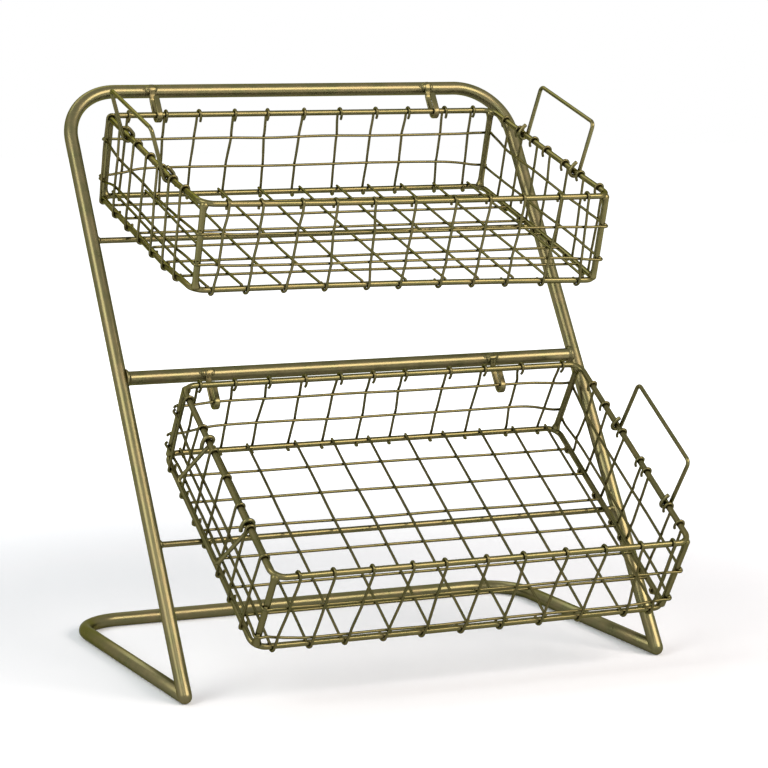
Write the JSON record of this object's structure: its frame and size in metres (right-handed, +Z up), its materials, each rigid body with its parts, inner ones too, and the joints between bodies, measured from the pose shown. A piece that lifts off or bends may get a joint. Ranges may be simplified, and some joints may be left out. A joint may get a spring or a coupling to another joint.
{
  "type": "two-tier basket stand",
  "caption": "Leaning bent-tube stand on a floor frame, carrying two forward-tipped wire mesh baskets in open hooks, each with a swinging bail handle at either end.",
  "frame": {"origin": "on the floor, midway between the legs and midway between the foremost and the rearmost point of the stand", "axes": "+Z up, +X to the right and +Y towards the back, as seen by someone who stands before the baskets"},
  "size_m": [0.4656, 0.415, 0.5002],
  "materials": {
    "tube_finish": "satin antique brass coloured metallic paint",
    "rod_finish": "satin antique brass coloured metallic paint",
    "wire_finish": "satin antique brass coloured metallic paint",
    "handle_finish": "satin antique brass coloured metallic paint"
  },
  "bodies": {
    "stand": {"crossbar": "tube_finish", "floor_base": "tube_finish", "leg_hoop": "tube_finish", "lower_left_hook": "rod_finish", "lower_rest_rod": "rod_finish", "lower_right_hook": "rod_finish", "upper_left_hook": "rod_finish", "upper_rest_rod": "rod_finish", "upper_right_hook": "rod_finish"},
    "upper_basket": {"upper_basket_bottom_rim": "wire_finish", "upper_basket_floor_mesh": "wire_finish", "upper_basket_front_left_post": "wire_finish", "upper_basket_front_mesh": "wire_finish", "upper_basket_front_right_post": "wire_finish", "upper_basket_left_mesh": "wire_finish", "upper_basket_rear_left_post": "wire_finish", "upper_basket_rear_mesh": "wire_finish", "upper_basket_rear_right_post": "wire_finish", "upper_basket_right_mesh": "wire_finish", "upper_basket_top_rim": "wire_finish"},
    "lower_basket": {"lower_basket_bottom_rim": "wire_finish", "lower_basket_floor_mesh": "wire_finish", "lower_basket_front_left_post": "wire_finish", "lower_basket_front_mesh": "wire_finish", "lower_basket_front_right_post": "wire_finish", "lower_basket_left_mesh": "wire_finish", "lower_basket_rear_left_post": "wire_finish", "lower_basket_rear_mesh": "wire_finish", "lower_basket_rear_right_post": "wire_finish", "lower_basket_right_mesh": "wire_finish", "lower_basket_top_rim": "wire_finish"},
    "upper_left_handle": {"upper_left_handle": "handle_finish"},
    "upper_right_handle": {"upper_right_handle": "handle_finish"},
    "lower_left_handle": {"lower_left_handle": "handle_finish"},
    "lower_right_handle": {"lower_right_handle": "handle_finish"}
  },
  "joints": [
    {"name": "upper_basket_lift", "type": "slide", "parent": "stand", "child": "upper_basket", "axis": [0, 0.5505, 0.8348], "range_m": [0, 0.0165]},
    {"name": "lower_basket_lift", "type": "slide", "parent": "stand", "child": "lower_basket", "axis": [0, 0.5505, 0.8348], "range_m": [0, 0.0215]},
    {"name": "upper_left_handle_swing", "type": "hinge", "parent": "upper_basket", "child": "upper_left_handle", "pos_m": [-0.1875, 0.0723, 0.44353], "axis": [0, -0.9636, -0.2672], "range_deg": [-170.6, 131.4]},
    {"name": "upper_right_handle_swing", "type": "hinge", "parent": "upper_basket", "child": "upper_right_handle", "pos_m": [0.2035, 0.06013, 0.44015], "axis": [0, 0.9636, 0.2672], "range_deg": [-159.6, 142.4]},
    {"name": "lower_left_handle_swing", "type": "hinge", "parent": "lower_basket", "child": "lower_left_handle", "pos_m": [-0.1815, -0.10239, 0.18229], "axis": [0, -0.8499, -0.527], "range_deg": [-302, 0]},
    {"name": "lower_right_handle_swing", "type": "hinge", "parent": "lower_basket", "child": "lower_right_handle", "pos_m": [0.2095, -0.11416, 0.175], "axis": [0, 0.8499, 0.527], "range_deg": [-154.1, 147.9]}
  ]
}
